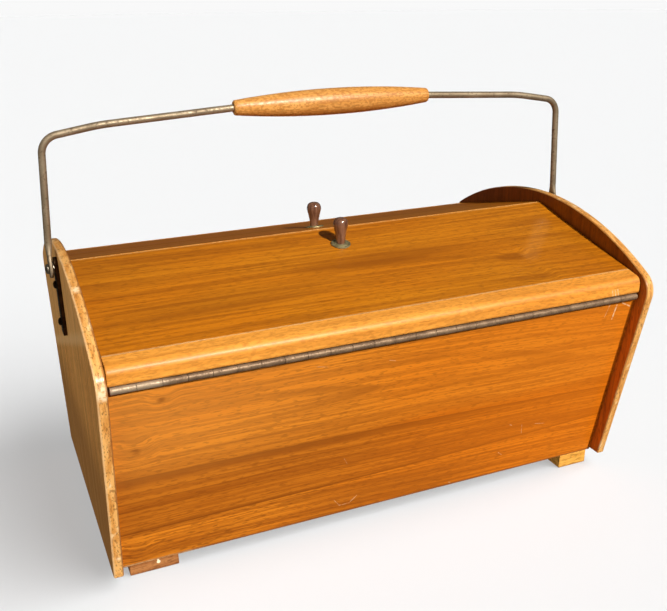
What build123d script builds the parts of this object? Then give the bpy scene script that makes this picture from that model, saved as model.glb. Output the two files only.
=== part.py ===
from build123d import *
from math import asin, atan, cos, radians, sin, tan
import os

os.makedirs("parts", exist_ok=True)

# Wooden sewing box with two lids that meet at a ridge, and a bail handle.
# Millimetres. X runs along the length, Y from front to back, Z up.
# The origin is under the middle of the box, on the surface that it stands on.
# Pieces are made for the front or the right, and mirrored to the back or the left.

# Driving dimensions: the case
inner_length = 400.0  # between the two end panels
end_thickness = 7.0
end_bottom = 13.0  # height of the end panels' lower edge
bottom_half_width = 106.5  # of an end panel, at its lower edge
flare = 0.205  # how far a sloping edge leans out, per unit of height
crown_top = 215.4  # highest point of an end panel
crown_radius = 254.0
shoulder_radius = 16.0
edge_round = 0.9
wall_thickness = 8.0  # front and back panels
wall_recess = 9.7  # how far a wall sits behind the end panels' edges
body_bottom = 12.0  # underside of the walls and of the bottom panel
bottom_thickness = 5.0

# Driving dimensions: the lids
lid_slope = 13.0  # degrees
ridge_height = 207.8
ridge_gap = 0.8
lid_thickness = 8.0
lid_end_gap = 0.8
moulding_face = 130.5  # distance of a moulding's face from the middle
moulding_depth = 14.0
nose_radius = 6.0
lip_radius = 2.0
rest_gap = 0.3  # below a closed lid, above the strips it rests on
rest_width = 8.0
rest_depth = 10.0
rest_ends = (12.0, 106.0)  # nearest and furthest from the ridge

# Driving dimensions: the piano hinges
hinge_y = 128.6
hinge_z = 162.65
hinge_half_gap = 2.9  # pin axis to the wood above or below
hinge_length = 396.0
leaf_start = 0.8  # from the pin axis, towards the middle
leaf_width = 9.0
leaf_thickness = 0.8
knuckle_radius = 2.6
knuckle_count = 25
knuckle_gap = 0.3
pin_radius = 1.2
pin_clearance = 0.05
hinge_screw_count = 9
hinge_screw_span = 372.0
hinge_screw_offset = 5.8  # from the pin axis, towards the middle
hinge_screw_length = 8.0
hinge_screw_radius = 1.1
hinge_screw_head = 2.1

# Driving dimensions: the knobs
knob_x = -2.0
knob_y = 26.5
# Radius and height of the knob's turned outline, from the foot to the top.
knob_profile = [(3.3, 0.0), (3.8, 6.0), (5.0, 11.5), (5.7, 15.8), (4.7, 19.6), (0.0, 21.0)]
rosette_radius = 7.6
rosette_height = 1.4
rosette_round = 1.0
knob_foot_allowance = 3.0  # extra length that the sloping cut takes off
knob_screw_radius = 1.5
knob_screw_head = 3.2
knob_screw_length = 24.0

# Driving dimensions: the bail handle
rod_radius = 2.5
pivot_height = 203.0
grip_height = 304.0
grip_offset = 5.0  # the grip sits a little to the right
grip_length = 157.0
grip_radius = 9.6
grip_end_radius = 5.2
grip_end_round = 2.0
rod_in_grip = 26.0
bar_slope = 3.15  # degrees, from the grip down to each corner
bar_knee = (168.0, 150.0)  # X where the bar starts to turn down, and the turn's radius
corner = (206.8, 292.8, 13.0)  # X and Z of the corner point, and the corner's radius
leg_foot = (211.4, 222.0)  # X and Z where the round leg ends
neck_half_width = 2.3  # where the flattened end starts, a little way up the round leg
neck_overlap = 3.0
eye_radius = 6.5
eye_x = (210.6, 213.3)  # inner and outer face of the flattened end
eye_top = 212.0  # below this the flattened end has its full width and its least thickness
eye_shank_half_width = 4.6
pivot_radius = 2.0
pivot_clearance = 0.05
rivet_head_radius = 3.6
rivet_head_height = 2.4
rivet_head_x = 213.4
strap_thickness = 2.8
strap_half_width = 6.0
strap_bottom = 153.5
strap_top = 211.0
strap_corner = 1.0
washer_radius = 5.0
washer_thickness = 0.7
strap_screw_heights = (191.0, 163.0)
strap_screw_radius = 1.5
strap_screw_head = 2.9
strap_screw_head_height = 2.2
strap_screw_bite = 5.5

# Driving dimensions: feet and dowels
foot_depth = 24.0
foot_chamfer = 0.8
# Each foot: X of its middle, its length, and how far it sits behind the wall's face.
front_feet = {"left": (-176.5, 35.0, 4.8), "right": (183.2, 27.0, 0.4)}
back_feet = {"left": (-178.0, 35.0, 2.0), "right": (178.0, 35.0, 2.0)}
foot_screw_radius = 1.75
foot_screw_head = 3.4
foot_screw_length = 15.5
foot_screw_sink = 1.0  # how far the head sits inside the foot
foot_screw_back = 15.0  # behind the foot's front face
dowel_radius = 2.0
dowel_in_end = 5.0
dowel_in_wall = 19.0
dowel_heights = (38.0, 86.0, 134.0)

# Worked out
half_length = inner_length / 2
end_face = half_length + end_thickness
lid_half_length = half_length - lid_end_gap
lid_run = lid_thickness / cos(radians(lid_slope))  # lid thickness, measured upright
wall_run = wall_thickness / cos(atan(flare))  # wall thickness, measured level
wall_top = hinge_z - hinge_half_gap
moulding_bottom = hinge_z + hinge_half_gap
moulding_inner = moulding_face - moulding_depth
strap_face = end_face + strap_thickness


def wall_face(z):
    """Distance of a wall's outer face from the middle of the box, at height z."""
    return bottom_half_width - wall_recess + flare * (z - end_bottom)


def lid_top(y):
    """Height of a closed lid's upper face at distance y from the ridge."""
    return ridge_height - tan(radians(lid_slope)) * y


def polygon(points):
    return make_face(Polyline(*points, close=True))


def prism(section, x_low, x_high):
    """A bar along X with the given section, drawn with Y to the right and Z up."""
    return Pos(x_low, 0, 0) * extrude(Plane.YZ * section, amount=x_high - x_low)


def bar_x(radius, x_low, x_high, y, z):
    middle = Pos((x_low + x_high) / 2, y, z)
    return middle * Rot(0, 90, 0) * Cylinder(radius, x_high - x_low)


def bar_z(radius, z_low, z_high, x, y):
    return Pos(x, y, (z_low + z_high) / 2) * Cylinder(radius, z_high - z_low)


def turned(profile):
    """A solid turned about Z, from a closed outline in the XZ plane."""
    return revolve(Plane.XZ * make_face(profile), axis=Axis.Z)


def countersunk_screw(radius, head, length):
    """A screw with its flat head at Z = 0, pointing up."""
    cone_height = head - radius
    cone = Pos(0, 0, cone_height / 2) * Cone(head, radius, cone_height)
    return cone + bar_z(radius, 0, length, 0, 0)


def domed_pin(radius, length, head_radius, head_height):
    """A pin along +X whose domed head starts at X = 0 and whose shank runs back from it."""
    dome_radius = (head_radius**2 + head_height**2) / (2 * head_height)
    half_angle = asin(head_radius / dome_radius) / 2
    dome_middle = (dome_radius * sin(half_angle), head_height - dome_radius * (1 - cos(half_angle)))
    outline = [
        Line((0, -length), (radius, -length)),
        Line((radius, -length), (radius, 0)),
        Line((radius, 0), (head_radius, 0)),
        ThreePointArc((head_radius, 0), dome_middle, (0, head_height)),
        Line((0, head_height), (0, -length)),
    ]
    return Rot(0, 90, 0) * turned(outline)


def hinge_screw_places():
    step = hinge_screw_span / (hinge_screw_count - 1)
    return [n * step - hinge_screw_span / 2 for n in range(hinge_screw_count)]


def hinge_screws(upward):
    """A row of screws: up into a moulding, or down into a wall's top edge."""
    screw = countersunk_screw(hinge_screw_radius, hinge_screw_head, hinge_screw_length)
    flange = hinge_half_gap - leaf_thickness
    y = hinge_screw_offset - hinge_y
    turn = Rot(0, 0, 0) if upward else Rot(180, 0, 0)
    side = 1 if upward else -1
    return [Pos(x, y, hinge_z + side * flange) * turn * screw for x in hinge_screw_places()]


def dowels():
    """The six dowels at the two ends of the front wall."""
    pins = []
    for z in dowel_heights:
        y = wall_run / 2 - wall_face(z)
        low = half_length - dowel_in_wall
        high = half_length + dowel_in_end
        pins.append(bar_x(dowel_radius, low, high, y, z))
        pins.append(bar_x(dowel_radius, -high, -low, y, z))
    return pins


def without(solid, cutters):
    for cutter in cutters:
        solid = solid - cutter
    return solid


def to_back(solid):
    return mirror(solid, about=Plane.XZ)


def to_left(solid):
    return mirror(solid, about=Plane.YZ)


def group(solids):
    """Separate solids kept together in one node."""
    return Compound(children=[piece.solid() for piece in solids])


def end_outline():
    """A flared panel cut off by the crown's arc, with rounded shoulders."""
    top_half_width = bottom_half_width + flare * (crown_top - end_bottom)
    flared = polygon([
        (-bottom_half_width, end_bottom),
        (bottom_half_width, end_bottom),
        (top_half_width, crown_top),
        (-top_half_width, crown_top),
    ])
    crowned = flared & Pos(0, crown_top - crown_radius) * Circle(crown_radius)
    return fillet(crowned.vertices().group_by(Axis.Y)[-1], shoulder_radius)


def strap_screws():
    screw = domed_pin(
        strap_screw_radius, strap_thickness + strap_screw_bite, strap_screw_head, strap_screw_head_height
    )
    return [Pos(strap_face, 0, z) * screw for z in strap_screw_heights]


def end_panel():
    panel = prism(end_outline(), half_length, end_face)
    panel = fillet(panel.faces().filter_by(Axis.X).edges(), edge_round)
    front_dowels = dowels()
    back_dowels = [to_back(pin) for pin in front_dowels]
    return without(panel, front_dowels + back_dowels + strap_screws())


def front_wall():
    section = polygon([
        (-wall_face(body_bottom), body_bottom),
        (-wall_face(wall_top), wall_top),
        (wall_run - wall_face(wall_top), wall_top),
        (wall_run - wall_face(body_bottom), body_bottom),
    ])
    wall = prism(section, -half_length, half_length)
    return without(wall, dowels() + hinge_screws(upward=False))


def bottom_panel():
    top = body_bottom + bottom_thickness
    low = wall_face(body_bottom) - wall_run
    high = wall_face(top) - wall_run
    section = polygon([(-low, body_bottom), (low, body_bottom), (high, top), (-high, top)])
    return without(prism(section, -half_length, half_length), foot_screws())


def knob_seat():
    """The plane of the front lid's upper face, where its knob stands."""
    return Plane(
        origin=(knob_x, -knob_y, lid_top(knob_y)), x_dir=(1, 0, 0), z_dir=(0, -tan(radians(lid_slope)), 1)
    )


def knob_screw():
    """Upright, from the lid's underside up into the knob."""
    screw = countersunk_screw(knob_screw_radius, knob_screw_head, knob_screw_length)
    return Pos(knob_x, -knob_y, lid_top(knob_y) - lid_run) * screw


def knob_screw_way():
    """The room the knob's screw needs, with its head's way out below."""
    bottom = lid_top(knob_y) - lid_run
    return knob_screw() + bar_z(knob_screw_head, bottom - lid_thickness, bottom, knob_x, -knob_y)


def knob_rosette():
    disc = Pos(0, 0, rosette_height / 2) * Cylinder(rosette_radius, rosette_height)
    rim = disc.edges().group_by(Axis.Z)[-1]
    return knob_seat() * fillet(rim, rosette_round) - knob_screw()


def knob():
    """Turned, with a narrow foot and a wide round head. Its foot is cut to the lid's slope."""
    foot_radius, foot_height = knob_profile[0]
    knob_height = knob_profile[-1][1]
    outline = [
        Line((0, -knob_foot_allowance), (foot_radius, -knob_foot_allowance)),
        Line((foot_radius, -knob_foot_allowance), (foot_radius, foot_height)),
        Spline(*knob_profile, tangents=[(0, 1), (-1, 0)]),
        Line((0, knob_height), (0, -knob_foot_allowance)),
    ]
    blank = Pos(knob_x, -knob_y, lid_top(knob_y)) * turned(outline)
    cutter_size = 2 * rosette_radius
    cutter_middle = rosette_height - cutter_size / 2
    seat_cutter = knob_seat() * Pos(0, 0, cutter_middle) * Box(cutter_size, cutter_size, cutter_size)
    return without(blank, [seat_cutter, knob_screw()])


def lid_panel():
    section = polygon([
        (-ridge_gap / 2, lid_top(ridge_gap / 2)),
        (-moulding_inner, lid_top(moulding_inner)),
        (-moulding_inner, lid_top(moulding_inner) - lid_run),
        (-ridge_gap / 2, lid_top(ridge_gap / 2) - lid_run),
    ])
    section = fillet(section.vertices().group_by(Axis.X)[-1], edge_round)
    return prism(section, -lid_half_length, lid_half_length) - knob_screw_way()


def lid_moulding():
    """Solid strip along a lid's outer edge, with a rounded nose."""
    section = polygon([
        (-moulding_inner, moulding_bottom),
        (-moulding_face, moulding_bottom),
        (-moulding_face, lid_top(moulding_face)),
        (-moulding_inner, lid_top(moulding_inner)),
    ])
    nose = section.vertices().group_by(Axis.X)[0].sort_by(Axis.Y)[-1]
    section = fillet(nose, nose_radius)
    lip = section.vertices().group_by(Axis.X)[0].sort_by(Axis.Y)[0]
    section = fillet(lip, lip_radius)
    return without(prism(section, -lid_half_length, lid_half_length), hinge_screws(upward=True))


def knuckle_spans(first):
    """X ranges of every second knuckle, from the one numbered first."""
    pitch = hinge_length / knuckle_count
    starts = [n * pitch - hinge_length / 2 for n in range(first, knuckle_count, 2)]
    return [(start + knuckle_gap / 2, start + pitch - knuckle_gap / 2) for start in starts]


def hinge_leaf(upward):
    """A leaf of the front hinge: the lid's leaf above the pin, or the wall's below it."""
    first = 1 if upward else 0
    side = 1 if upward else -1
    z = hinge_z + side * (hinge_half_gap - leaf_thickness / 2)
    y = leaf_start + leaf_width / 2 - hinge_y
    leaf = Pos(0, y, z) * Box(hinge_length, leaf_width, leaf_thickness)
    for low, high in knuckle_spans(1 - first):
        leaf -= bar_x(hinge_half_gap, low - knuckle_gap, high + knuckle_gap, -hinge_y, hinge_z)
    for low, high in knuckle_spans(first):
        leaf += bar_x(knuckle_radius, low, high, -hinge_y, hinge_z)
    leaf -= bar_x(pin_radius + pin_clearance, -hinge_length, hinge_length, -hinge_y, hinge_z)
    return without(leaf, hinge_screws(upward))


def hinge_pin():
    return bar_x(pin_radius, -hinge_length / 2, hinge_length / 2, -hinge_y, hinge_z)


def lid_rest():
    """Strip inside the right end panel that the front lid rests on."""
    near, far = rest_ends
    drop = lid_run + rest_gap
    section = polygon([
        (-near, lid_top(near) - drop),
        (-far, lid_top(far) - drop),
        (-far, lid_top(far) - drop - rest_depth),
        (-near, lid_top(near) - drop - rest_depth),
    ])
    return prism(section, half_length - rest_width, half_length)


def foot(x, length, inset):
    """A block under the front wall and the bottom panel."""
    y = inset + foot_depth / 2 - wall_face(body_bottom)
    block = Pos(x, y, body_bottom / 2) * Box(length, foot_depth, body_bottom)
    block = chamfer(block.edges().group_by(Axis.Z)[0], foot_chamfer)
    return block - foot_screw_way(x, inset)


def foot_screw(x, inset):
    """Upright, from below the foot up into the bottom panel."""
    screw = countersunk_screw(foot_screw_radius, foot_screw_head, foot_screw_length)
    return Pos(x, inset + foot_screw_back - wall_face(body_bottom), foot_screw_sink) * screw


def foot_screw_way(x, inset):
    """The room a foot's screw needs, with its head's way out below."""
    y = inset + foot_screw_back - wall_face(body_bottom)
    return foot_screw(x, inset) + bar_z(foot_screw_head, -foot_screw_sink, foot_screw_sink, x, y)


def foot_screws():
    front = [foot_screw(x, inset) for x, length, inset in front_feet.values()]
    back = [to_back(foot_screw(x, inset)) for x, length, inset in back_feet.values()]
    return front + back


def handle_rod(grip_side):
    """The right-hand rod. grip_side is the X of the grip's end that it goes into."""
    slope = tan(radians(bar_slope))
    inner_end = grip_side - rod_in_grip
    knee_x, knee_radius = bar_knee
    corner_x, corner_z, corner_radius = corner
    path = Plane.XZ * FilletPolyline(
        (inner_end, grip_height + rod_in_grip * slope),
        (knee_x, grip_height - (knee_x - grip_side) * slope),
        (corner_x, corner_z),
        leg_foot,
        radius=[knee_radius, corner_radius],
    )
    rod = sweep(Plane(origin=path @ 0, z_dir=path % 0) * Circle(rod_radius), path=path)
    return rod + flattened_end() - pivot_hole()


def flattened_end():
    """The leg's lower end, hammered thin and wide and rounded about the pivot."""
    inner, outer = eye_x
    foot_x, foot_z = leg_foot
    top = foot_z + neck_overlap
    bottom = pivot_height - eye_radius
    thinning = polygon([
        (foot_x - neck_half_width, top),
        (foot_x + neck_half_width, top),
        (outer, eye_top),
        (outer, bottom),
        (inner, bottom),
        (inner, eye_top),
    ])
    widening = polygon([
        (-neck_half_width, top),
        (neck_half_width, top),
        (eye_shank_half_width, eye_top),
        (eye_shank_half_width, pivot_height),
        (-eye_shank_half_width, pivot_height),
        (-eye_shank_half_width, eye_top),
    ])
    outline = widening + Pos(0, pivot_height) * Circle(eye_radius)
    thin_slab = extrude(Plane.XZ * thinning, amount=eye_radius, both=True)
    return thin_slab & prism(outline, inner - rod_radius, outer + rod_radius)


def pivot_hole():
    return bar_x(pivot_radius + pivot_clearance, *eye_x, 0, pivot_height)


def handle_grip():
    """Turned spindle, drilled at both ends for the rods."""
    half = grip_length / 2
    flank = ThreePointArc((grip_end_radius, -half), (grip_radius, 0), (grip_end_radius, half))
    outline = [Line((0, -half), (grip_end_radius, -half)), flank, Line((grip_end_radius, half), (0, half))]
    spindle = turned(outline + [Line((0, half), (0, -half))])
    ends = spindle.edges().filter_by(GeomType.CIRCLE)
    spindle = fillet(ends, grip_end_round)
    placed = Pos(grip_offset, 0, grip_height) * Rot(0, 90, 0) * spindle
    return without(placed, [right_rod(), left_rod()])


def right_rod():
    return handle_rod(grip_offset + grip_length / 2)


def left_rod():
    return to_left(handle_rod(grip_length / 2 - grip_offset))


def handle_rivet():
    """Fixed in the strap, with its shank through the washer and the flattened end."""
    shank = rivet_head_x - end_face
    return Pos(rivet_head_x, 0, pivot_height) * domed_pin(
        pivot_radius, shank, rivet_head_radius, rivet_head_height
    )


def pivot_washer():
    ring = bar_x(washer_radius, strap_face, strap_face + washer_thickness, 0, pivot_height)
    return ring - handle_rivet()


def handle_strap():
    """Flat strip on the end panel's outer face, with a round top and a square bottom."""
    round_centre = strap_top - strap_half_width
    outline = Pos(0, round_centre) * Circle(strap_half_width)
    height = round_centre - strap_bottom
    shank = Pos(0, strap_bottom + height / 2) * Rectangle(2 * strap_half_width, height)
    shank = fillet(shank.vertices().group_by(Axis.Y)[0], strap_corner)
    return without(prism(outline + shank, end_face, strap_face), strap_screws() + [handle_rivet()])


def front_and_back(name, solid):
    return {f"front_{name}": solid, f"back_{name}": to_back(solid)}


def left_and_right(name, solid):
    return {f"left_{name}": to_left(solid), f"right_{name}": solid}


def all_nodes():
    nodes = {"bottom_panel": bottom_panel(), "foot_screws": group(foot_screws())}
    nodes |= left_and_right("end_panel", end_panel())
    nodes |= front_and_back("panel", front_wall())
    nodes |= front_and_back("panel_dowels", group(dowels()))
    nodes |= front_and_back("lid_panel", lid_panel())
    nodes |= front_and_back("lid_moulding", lid_moulding())
    nodes |= front_and_back("hinge_lid_leaf", hinge_leaf(upward=True))
    nodes |= front_and_back("hinge_body_leaf", hinge_leaf(upward=False))
    nodes |= front_and_back("hinge_pin", hinge_pin())
    nodes |= front_and_back("hinge_lid_screws", group(hinge_screws(upward=True)))
    nodes |= front_and_back("hinge_body_screws", group(hinge_screws(upward=False)))
    nodes |= front_and_back("knob", knob())
    nodes |= front_and_back("knob_rosette", knob_rosette())
    nodes |= front_and_back("knob_screw", knob_screw())
    nodes |= front_and_back("right_lid_rest", lid_rest())
    nodes |= front_and_back("left_lid_rest", to_left(lid_rest()))
    nodes |= left_and_right("handle_strap", handle_strap())
    nodes |= left_and_right("handle_rivet", handle_rivet())
    nodes |= left_and_right("pivot_washer", pivot_washer())
    nodes |= left_and_right("strap_screws", group(strap_screws()))
    nodes |= {"left_handle_rod": left_rod(), "right_handle_rod": right_rod()}
    nodes["handle_grip"] = handle_grip()
    for side, place in front_feet.items():
        nodes[f"front_{side}_foot"] = foot(*place)
    for side, place in back_feet.items():
        nodes[f"back_{side}_foot"] = to_back(foot(*place))
    return nodes


for node_name, node_shape in all_nodes().items():
    export_step(node_shape, f"parts/{node_name}.step")
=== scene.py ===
from math import atan, ceil, cos, hypot, pi, radians, sin, sqrt, tan

import bmesh
import bpy
from mathutils import Matrix, Vector


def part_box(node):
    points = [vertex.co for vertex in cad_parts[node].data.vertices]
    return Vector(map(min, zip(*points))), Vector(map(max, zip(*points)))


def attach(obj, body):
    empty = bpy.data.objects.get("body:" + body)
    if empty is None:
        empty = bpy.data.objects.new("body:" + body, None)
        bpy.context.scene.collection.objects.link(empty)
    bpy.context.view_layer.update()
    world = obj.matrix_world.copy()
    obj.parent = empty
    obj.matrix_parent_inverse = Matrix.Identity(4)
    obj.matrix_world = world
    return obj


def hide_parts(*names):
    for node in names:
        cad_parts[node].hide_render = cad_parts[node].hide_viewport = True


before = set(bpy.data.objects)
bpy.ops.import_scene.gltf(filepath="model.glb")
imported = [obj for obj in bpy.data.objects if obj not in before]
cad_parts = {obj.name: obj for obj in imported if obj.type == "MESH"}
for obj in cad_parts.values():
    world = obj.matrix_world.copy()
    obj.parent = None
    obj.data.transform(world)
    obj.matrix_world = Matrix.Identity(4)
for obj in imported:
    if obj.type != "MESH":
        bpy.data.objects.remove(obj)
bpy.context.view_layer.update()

# A wooden sewing box with two lids that meet at a ridge, and a bail handle.
# Shapes are in millimetres in the CAD frame: X along the length, Y from front to back, Z up.
# Pieces are made for the right or the front, and mirrored to the left or the back.
MM = 0.001

# Camera and light
camera_place = (-0.2555, -0.5992, 0.3877)
camera_yaw = 22.826
camera_pitch = 22.415
camera_roll = -0.662
camera_lens = 46.07
camera_shift = (0.0103, 0.0394)
sun_travel = (-0.36, 1.318, -1.0)
sun_strength = 4.7
sun_angle = 2.5
fill_travel = (1.0, 0.34, -0.05)
fill_strength = 1.75
fill_angle = 55.0
sky_overhead = 0.07
sky_horizon = 0.04
sky_below = 0.16
floor_lift = 0.43  # how much of the floor's brightness is its own
floor_sun_travel = (-0.78, 0.62, -0.85)
floor_sun_strength = 6.7
floor_sun_angle = 64.0
backdrop_brightness = 0.945

# Sizes that the CAD model doesn't give as a box, in millimetres
flare = 0.205
crown_radius = 254.0
shoulder_radius = 16.0
panel_edge_round = 1.1
lid_slope = 13.0
nose_radius = 6.0
lip_radius = 2.0
joint_round = 0.35  # where a lid's board meets its moulding
board_round = 0.6
wall_thickness = 8.0
wall_recess = 9.7  # how far a wall sits behind the end panels' edges
lid_thickness = 8.0
rest_depth = 10.0  # of a lid rest, measured upright
seam = 0.15  # fine gap between glued pieces, so that the joint shows
hinge_y = 128.6
hinge_z = 162.65
hinge_half_gap = 2.9
leaf_start = 0.8
leaf_width = 9.0
leaf_thickness = 0.8
knuckle_radius = 2.45
knuckle_count = 25
knuckle_gap = 0.16
knuckle_clearance = 0.06  # between a flange and the other leaf's knuckles
leaf_seat = 0.02  # air on either side of a leaf
flange_start = sqrt(knuckle_radius**2 - (hinge_half_gap - leaf_thickness) ** 2) + knuckle_clearance
tab_start = 0.45 * knuckle_radius  # where a knuckle's own sheet leaves it
tab_overlap = 0.4
pin_radius = 1.2
hinge_screw_count = 9
hinge_screw_span = 372.0
hinge_screw_offset = 5.8
knob_x = -2.0
knob_y = 26.5
grip_offset = 5.0
grip_radius = 9.6
grip_end_radius = 5.2
grip_end_round = 2.2
grip_height = 304.0
rod_radius = 2.5
bar_slope = 3.15
bar_knee = (168.0, 150.0)
handle_corner = (206.8, 292.8, 13.0)
leg_foot = (211.4, 222.0)
eye_radius = 6.5
eye_x = (210.6, 213.3)
pivot_height = 203.0
rivet_head_height = 2.4
pivot_hole = 2.1  # radius of the hole in the rod's eye
strap_screw_heights = (191.0, 163.0)
rod_in_grip = 24.0
rod_bend_steps = 20

front_and_back = (("front", 1), ("back", -1))
right_and_left = (("right", 1), ("left", -1))


def box_mm(node):
    """Lowest and highest corner of a CAD node, in millimetres."""
    low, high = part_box(node)
    return low / MM, high / MM


panel_low, panel_high = box_mm("right_end_panel")
wall_low, wall_high = box_mm("front_panel")
floor_board_low, floor_board_high = box_mm("bottom_panel")
lid_low, lid_high = box_mm("front_lid_panel")
moulding_low, moulding_high = box_mm("front_lid_moulding")
leaf_low, leaf_high = box_mm("front_hinge_lid_leaf")
strap_low, strap_high = box_mm("right_handle_strap")
washer_low, washer_high = box_mm("right_pivot_washer")
rivet_high = box_mm("right_handle_rivet")[1]
grip_low, grip_high = box_mm("handle_grip")
rest_low, rest_high = box_mm("front_right_lid_rest")

half_length = panel_low.x
end_face = panel_high.x
ridge_half_gap = -lid_high.y
moulding_inner = -lid_low.y
lid_run = lid_thickness / cos(radians(lid_slope))
ridge_height = lid_high.z + tan(radians(lid_slope)) * ridge_half_gap


# ---------------------------------------------------------------- shapes


def lid_top(y):
    """Height of the lid's upper face at distance y from the ridge's middle plane."""
    return ridge_height - tan(radians(lid_slope)) * y


def wall_face(z):
    """Distance of a wall's outer face from the middle of the box, at height z."""
    return -wall_low.y + flare * (z - wall_high.z)


def counter_clockwise(points):
    """The points, turned round if they run clockwise."""
    doubled_area = sum(a[0] * b[1] - b[0] * a[1] for a, b in zip(points, points[1:] + points[:1]))
    return points if doubled_area > 0 else points[::-1]


def corner_arc(before, corner, after, radius, steps):
    """The arc that rounds a corner, and the directions from the corner to its two neighbours."""
    here = Vector(corner[:2])
    to_before = (Vector(before[:2]) - here).normalized()
    to_after = (Vector(after[:2]) - here).normalized()
    half_angle = to_before.angle(to_after) / 2
    reach = radius / tan(half_angle)
    start = here + to_before * reach
    end = here + to_after * reach
    centre = here + (to_before + to_after).normalized() * radius / sin(half_angle)
    sweep = pi - 2 * half_angle
    arc = []
    for step in range(steps + 1):
        share = step / steps
        spread_start = (start - centre) * sin((1 - share) * sweep) / sin(sweep)
        spread_end = (end - centre) * sin(share * sweep) / sin(sweep)
        arc.append(centre + spread_start + spread_end)
    return arc, to_before, to_after


def rounded(corners, hold=0.5):
    """An outline from corners (u, v, radius). Each rounding has a holding point on either side."""
    outline = []
    for n, corner in enumerate(corners):
        radius = corner[2]
        after = corners[(n + 1) % len(corners)]
        steps = max(3, ceil(radius * 1.6))
        arc, to_before, to_after = corner_arc(corners[n - 1], corner, after, radius, steps)
        outline.append(tuple(arc[0] + to_before * hold))
        outline += [tuple(point) for point in arc]
        outline.append(tuple(arc[-1] + to_after * hold))
    return counter_clockwise(outline)


def inset(outline, distance):
    """The outline moved inwards. It runs counter-clockwise."""
    inner = []
    count = len(outline)
    for n in range(count):
        here = Vector(outline[n])
        incoming = (here - Vector(outline[n - 1])).normalized()
        outgoing = (Vector(outline[(n + 1) % count]) - here).normalized()
        inward = Vector((-incoming.y, incoming.x)) + Vector((-outgoing.y, outgoing.x))
        inward /= max(inward.length_squared / 2, 0.3)
        inner.append(tuple(here + inward * distance))
    return inner


def plate(outline, low, high, edge, steps=3, hold=0.5):
    """Rings of a plate between X low and high, with its outline in the YZ plane and rounded edges."""
    half = [(edge + hold, 0.0)]
    for step in range(steps + 1):
        angle = step / steps * pi / 2
        half.append((edge * (1 - sin(angle)), edge * (1 - cos(angle))))
    half.append((0.0, edge + hold))
    sides = [(amount, low + x) for amount, x in half] + [(amount, high - x) for amount, x in reversed(half)]
    return [[(x, y, z) for y, z in inset(outline, amount)] for amount, x in sides]


def turned(profile, count=48):
    """Rings about the Z axis from a profile of (radius, height)."""
    rings = []
    for radius, height in profile:
        if radius == 0:
            rings.append([(0.0, 0.0, height)])
            continue
        angles = [2 * pi * n / count for n in range(count)]
        rings.append([(radius * cos(a), radius * sin(a), height) for a in angles])
    return rings


def moved(rings, matrix):
    """The rings, placed by a matrix."""
    return [[tuple(matrix @ Vector(point)) for point in ring] for ring in rings]


def along_x(x, y, z, direction=1):
    """Places something made about Z so that it points along X from the given place."""
    return Matrix.Translation((x, y, z)) @ Matrix.Rotation(direction * pi / 2, 4, "Y")


def arc_points(centre, radius, start, end, steps):
    """Points on an arc, from one angle in degrees to another."""
    u, v = centre
    angles = [radians(start + (end - start) * n / steps) for n in range(steps + 1)]
    return [(u + radius * cos(a), v + radius * sin(a)) for a in angles]


def smooth_curve(points, steps):
    """A Catmull-Rom curve through points of any dimension."""

    def between(p, q, r, s, t):
        """The value at share t of the way from q to r."""
        square = 2 * p - 5 * q + 4 * r - s
        cube = 3 * q - p - 3 * r + s
        return 0.5 * (2 * q + (r - p) * t + square * t * t + cube * t**3)

    padded = [points[0]] + list(points) + [points[-1]]
    curve = []
    for a, b, c, d in zip(padded, padded[1:], padded[2:], padded[3:]):
        for n in range(steps):
            curve.append(tuple(between(*values, n / steps) for values in zip(a, b, c, d)))
    return curve + [tuple(points[-1])]


# ---------------------------------------------------------------- meshes


def join_rings(mesh, near, far):
    """Faces between two rings. A ring of one point makes a fan."""
    for n in range(max(len(near), len(far))):
        corners = [
            near[n % len(near)],
            near[(n + 1) % len(near)],
            far[(n + 1) % len(far)],
            far[n % len(far)],
        ]
        mesh.faces.new(list(dict.fromkeys(corners)))


def add_shell(mesh, rings, looped):
    """Skins rings of points. The two ends are capped, unless the rings come back to the first."""
    made = [[mesh.verts.new(Vector(point) * MM) for point in ring] for ring in rings]
    for near, far in zip(made, made[1:]):
        join_rings(mesh, near, far)
    if looped:
        join_rings(mesh, made[-1], made[0])
        return
    for ring in (made[0], made[-1]):
        if len(ring) > 2:
            mesh.faces.new(ring)


def mesh_object(name, shells, flip, looped=False, sharp=33.0):
    """flip is the sign of X and of Y, to mirror a piece to the left or the back."""
    mesh = bmesh.new()
    for rings in shells:
        add_shell(mesh, [[(x * flip[0], y * flip[1], z) for x, y, z in ring] for ring in rings], looped)
    bmesh.ops.recalc_face_normals(mesh, faces=mesh.faces)
    data = bpy.data.meshes.new(name)
    mesh.to_mesh(data)
    mesh.free()
    data.shade_smooth()
    data.set_sharp_from_angle(angle=radians(sharp))
    made = bpy.data.objects.new(name, data)
    bpy.context.scene.collection.objects.link(made)
    return made


def piece(node, shells, body, material, flip=(1, 1), looped=False, sharp=33.0):
    """A finished piece that stands for one CAD node."""
    made = mesh_object(node + "_finished", shells, flip, looped, sharp)
    made.data.materials.append(material)
    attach(made, body)
    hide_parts(node)
    return made


def paint_faces(made, further, choose):
    """Adds further materials. choose picks one for each face from its middle, in mm, and its normal."""
    for material in further:
        made.data.materials.append(material)
    for face in made.data.polygons:
        face.material_index = choose(face.center / MM, face.normal)
    return made


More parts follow.
